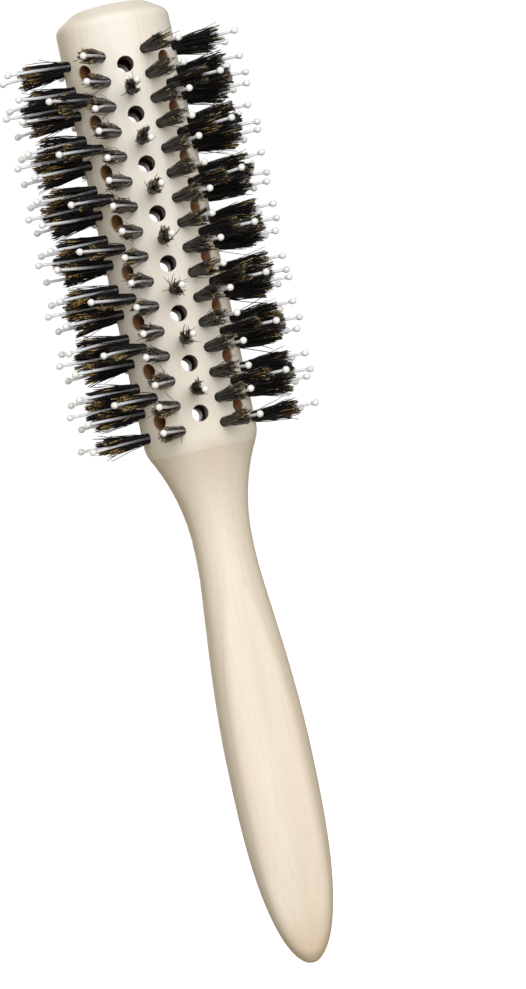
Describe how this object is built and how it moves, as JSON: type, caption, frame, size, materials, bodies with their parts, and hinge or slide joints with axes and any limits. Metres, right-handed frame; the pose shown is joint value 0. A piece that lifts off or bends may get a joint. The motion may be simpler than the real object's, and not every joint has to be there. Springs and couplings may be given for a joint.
{
  "type": "round barrel hairbrush",
  "caption": "Round hairbrush: a vented wooden barrel with bristle tufts and ball-tipped nylon quills in rows all round it, glued on a turned wooden handle with two soft flats.",
  "frame": {"origin": "the point under the middle of the brush at the lowest point of the handle's tip, on the brush's long axis", "axes": "+Z runs along the brush from the handle's tip to the barrel's crown, -Y is the front, where a vented row and one flat of the handle face the viewer, +X is the viewer's right"},
  "size_m": [0.0646, 0.0646, 0.25],
  "materials": {
    "wood_barrel": "fine-sanded pale maple or beech, matte, closed grain along the brush",
    "wood_handle": "fine-sanded pale maple or beech under a thin satin lacquer, short dark flecks along the grain",
    "bristle": "black bristle with golden brown ends, slightly shiny along each hair",
    "quill_nylon": "grey translucent nylon, satin",
    "ball_tip": "glossy white resin",
    "anchor_wire": "plain flat steel wire"
  },
  "bodies": {
    "root": {"barrel": "wood_barrel", "handle": "wood_handle", "bristles_row_01": "bristle", "bristles_row_02": "bristle", "bristles_row_03": "bristle", "bristles_row_04": "bristle", "bristles_row_05": "bristle", "bristles_row_06": "bristle", "bristles_row_07": "bristle", "bristles_row_08": "bristle", "bristles_row_09": "bristle", "bristles_row_10": "bristle", "bristles_row_11": "bristle", "bristles_row_12": "bristle", "bristles_row_13": "bristle", "bristles_row_14": "bristle", "bristles_row_15": "bristle", "bristles_row_16": "bristle", "quills_row_01": "quill_nylon", "quills_row_02": "quill_nylon", "quills_row_03": "quill_nylon", "quills_row_04": "quill_nylon", "quills_row_05": "quill_nylon", "quills_row_06": "quill_nylon", "quills_row_07": "quill_nylon", "quills_row_08": "quill_nylon", "quills_row_09": "quill_nylon", "quills_row_10": "quill_nylon", "quills_row_11": "quill_nylon", "quills_row_12": "quill_nylon", "quills_row_13": "quill_nylon", "quills_row_14": "quill_nylon", "quills_row_15": "quill_nylon", "quills_row_16": "quill_nylon", "ball_tips_row_01": "ball_tip", "ball_tips_row_02": "ball_tip", "ball_tips_row_03": "ball_tip", "ball_tips_row_04": "ball_tip", "ball_tips_row_05": "ball_tip", "ball_tips_row_06": "ball_tip", "ball_tips_row_07": "ball_tip", "ball_tips_row_08": "ball_tip", "ball_tips_row_09": "ball_tip", "ball_tips_row_10": "ball_tip", "ball_tips_row_11": "ball_tip", "ball_tips_row_12": "ball_tip", "ball_tips_row_13": "ball_tip", "ball_tips_row_14": "ball_tip", "ball_tips_row_15": "ball_tip", "ball_tips_row_16": "ball_tip", "anchors_vented_rows": "anchor_wire", "anchors_closed_rows": "anchor_wire"}
  },
  "joints": []
}
